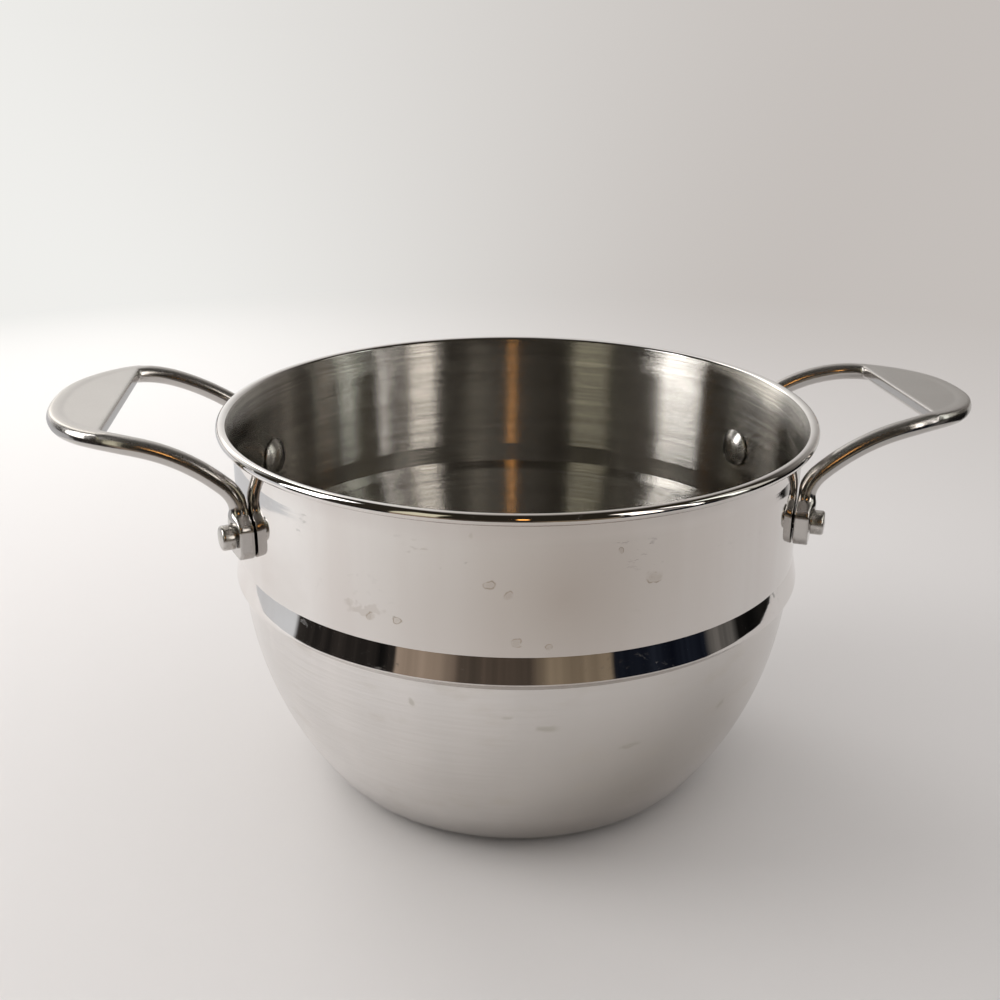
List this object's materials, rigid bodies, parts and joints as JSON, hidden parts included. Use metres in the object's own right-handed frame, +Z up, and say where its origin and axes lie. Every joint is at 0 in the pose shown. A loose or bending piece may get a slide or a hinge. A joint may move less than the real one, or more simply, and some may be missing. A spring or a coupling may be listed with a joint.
{
  "type": "steamer basket",
  "caption": "Stainless steel steamer basket: round bowl with rolled rim, a stepped shoulder that seats on a saucepan, a perforated flat base and riveted loop handles.",
  "frame": {"origin": "middle of the base, on the surface that the basket stands on", "axes": "+Z up through the mouth, +X along the line through the handles"},
  "size_m": [0.33, 0.2154, 0.1487],
  "materials": {
    "bowl_steel": "mirror polished wall and shoulder, satin lower bowl, brushed inside",
    "handle_steel": "polished rod, satin thumb plate",
    "rivet_steel": "satin"
  },
  "bodies": {
    "root": {"bowl": "bowl_steel", "handle_right": "handle_steel", "handle_left": "handle_steel", "rivet_right_front": "rivet_steel", "rivet_right_back": "rivet_steel", "rivet_left_front": "rivet_steel", "rivet_left_back": "rivet_steel"}
  },
  "joints": []
}
